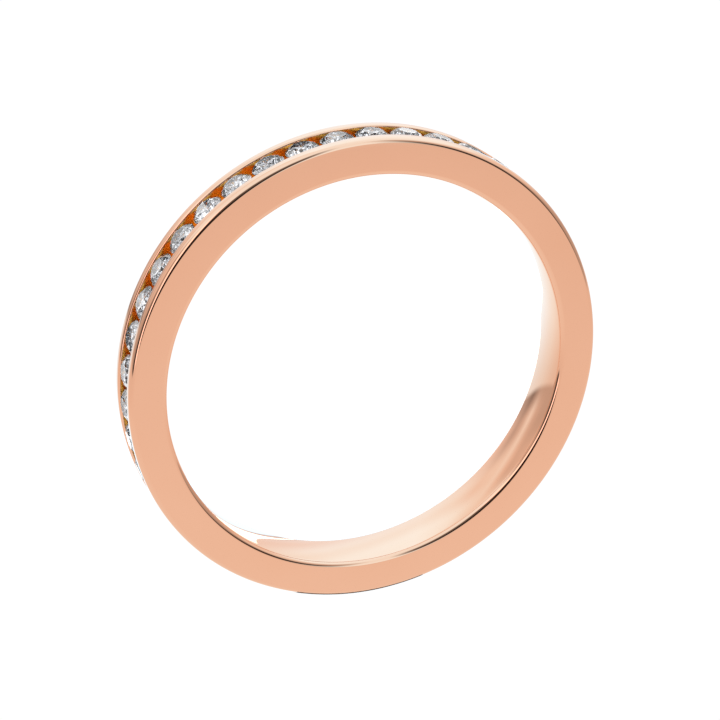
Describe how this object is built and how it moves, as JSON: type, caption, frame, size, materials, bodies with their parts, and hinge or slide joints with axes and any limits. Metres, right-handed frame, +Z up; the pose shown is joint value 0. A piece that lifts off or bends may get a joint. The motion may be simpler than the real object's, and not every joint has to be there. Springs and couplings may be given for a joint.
{
  "type": "wedding band",
  "caption": "Slim finger ring with a closed row of small round brilliants channel-set between plain polished rails, on a smooth cylindrical bore.",
  "frame": {"origin": "centre of the finger bore, halfway between the two side faces", "axes": "+Y along the bore axis, away from the side face that is seen; +Z up, with the ring standing on its rim; +X to the right"},
  "size_m": [0.0202, 0.0022, 0.0202],
  "materials": {
    "rose_gold": "mirror-polished 14 ct rose gold",
    "diamond": "clear, flat-polished facets"
  },
  "bodies": {
    "root": {"band": "rose_gold", "diamond_01": "diamond", "diamond_02": "diamond", "diamond_03": "diamond", "diamond_04": "diamond", "diamond_05": "diamond", "diamond_06": "diamond", "diamond_07": "diamond", "diamond_08": "diamond", "diamond_09": "diamond", "diamond_10": "diamond", "diamond_11": "diamond", "diamond_12": "diamond", "diamond_13": "diamond", "diamond_14": "diamond", "diamond_15": "diamond", "diamond_16": "diamond", "diamond_17": "diamond", "diamond_18": "diamond", "diamond_19": "diamond", "diamond_20": "diamond", "diamond_21": "diamond", "diamond_22": "diamond", "diamond_23": "diamond", "diamond_24": "diamond", "diamond_25": "diamond", "diamond_26": "diamond", "diamond_27": "diamond", "diamond_28": "diamond", "diamond_29": "diamond", "diamond_30": "diamond", "diamond_31": "diamond", "diamond_32": "diamond", "diamond_33": "diamond", "diamond_34": "diamond", "diamond_35": "diamond", "diamond_36": "diamond", "diamond_37": "diamond", "diamond_38": "diamond", "diamond_39": "diamond", "diamond_40": "diamond", "diamond_41": "diamond", "diamond_42": "diamond"}
  },
  "joints": []
}
